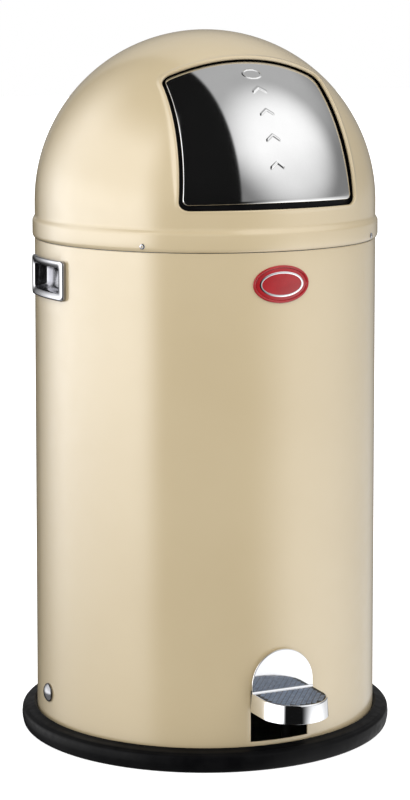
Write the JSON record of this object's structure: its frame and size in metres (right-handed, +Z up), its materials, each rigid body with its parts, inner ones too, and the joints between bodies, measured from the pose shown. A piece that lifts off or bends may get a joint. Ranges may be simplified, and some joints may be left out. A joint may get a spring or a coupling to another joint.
{
  "type": "pedal waste bin",
  "caption": "Round domed pedal waste bin: painted steel body with carrying cups, hinged hood, steel throw-in flap raised by a chrome pedal, and a loose metal inner bucket.",
  "frame": {"origin": "centre of the underside of the base, on the floor", "axes": "+Z up, front with pedal and flap towards -Y, +X to the right seen from the front"},
  "size_m": [0.3999, 0.448, 0.7525],
  "materials": {
    "cream_paint": "semi-gloss almond powder paint",
    "black_plastic": "moulded, fine grain",
    "rubber": "soft matte",
    "pedal_rubber": "blue-grey, raised diamond tread",
    "chrome": "polished plating",
    "stainless": "polished sheet",
    "zinc_steel": "zinc plated",
    "galvanised": "galvanised sheet with spangle",
    "red_enamel": "vitreous enamel",
    "nylon": "natural nylon"
  },
  "bodies": {
    "root": {"plinth": "black_plastic", "base_pan": "zinc_steel", "base_screws": "zinc_steel", "body_shell": "cream_paint", "body_collar": "zinc_steel", "false_floor": "zinc_steel", "floor_brackets": "zinc_steel", "pedal_axle": "zinc_steel", "axle_cap_left": "chrome", "axle_cap_right": "chrome", "axle_brackets": "zinc_steel", "down_stops": "rubber", "rest_stops": "rubber", "return_spring": "zinc_steel", "rod_guides": "black_plastic", "handle_left": "chrome", "handle_right": "chrome", "badge": "red_enamel", "badge_rim": "chrome", "hinge_body_leaf": "stainless", "hinge_pin": "zinc_steel", "hinge_body_rivets": "stainless", "liner": "galvanised", "bail_ears": "galvanised"},
    "bail": {"bail": "zinc_steel", "bail_grip": "black_plastic"},
    "pedal": {"pedal_lever": "zinc_steel", "lever_bushes": "nylon", "lift_bar": "zinc_steel", "pedal_cover": "chrome", "pedal_pad": "pedal_rubber", "pedal_screws": "zinc_steel"},
    "lift": {"lift_hoop": "zinc_steel", "push_rod_left": "zinc_steel", "push_rod_right": "zinc_steel", "rod_tips": "black_plastic", "rod_nuts": "zinc_steel"},
    "lid": {"dome": "cream_paint", "lid_ring": "zinc_steel", "lid_seal": "rubber", "lid_screws": "stainless", "hinge_lid_leaf": "stainless", "hinge_lid_rivets": "stainless", "aperture_trim": "rubber", "flap_pivots": "zinc_steel", "flap_buffers": "rubber"},
    "flap": {"flap_panel": "stainless", "flap_backing": "black_plastic", "flap_carrier": "zinc_steel", "flap_bushes": "nylon", "crank_pins": "black_plastic"}
  },
  "joints": [
    {"name": "pedal_tilt", "type": "hinge", "parent": "root", "child": "pedal", "pos_m": [0, 0, 0.0495], "axis": [1, 0, 0], "range_deg": [0, 9], "stiffness_Nm_per_rad": 6, "springref_deg": -34.38, "deforming": ["return_spring"]},
    {"name": "lift_rise", "type": "slide", "parent": "root", "child": "lift", "axis": [0, 0, 1], "range_m": [0, 0.0262]},
    {"name": "lid_hinge", "type": "hinge", "parent": "root", "child": "lid", "pos_m": [0, 0.192, 0.531], "axis": [-1, 0, 0], "range_deg": [0, 95]},
    {"name": "flap_swing", "type": "hinge", "parent": "lid", "child": "flap", "pos_m": [0, 0, 0.5692], "axis": [-1, 0, 0], "range_deg": [0, 60.5]},
    {"name": "bail_swing", "type": "hinge", "parent": "root", "child": "bail", "pos_m": [0, 0, 0.521], "axis": [1, 0, 0], "range_deg": [0, 90]}
  ],
  "couplings": [
    {"joint": "lift_rise", "follows": "pedal_tilt", "m_per_rad": 0.16333},
    {"joint": "flap_swing", "follows": "pedal_tilt", "ratio": 6.6667}
  ]
}
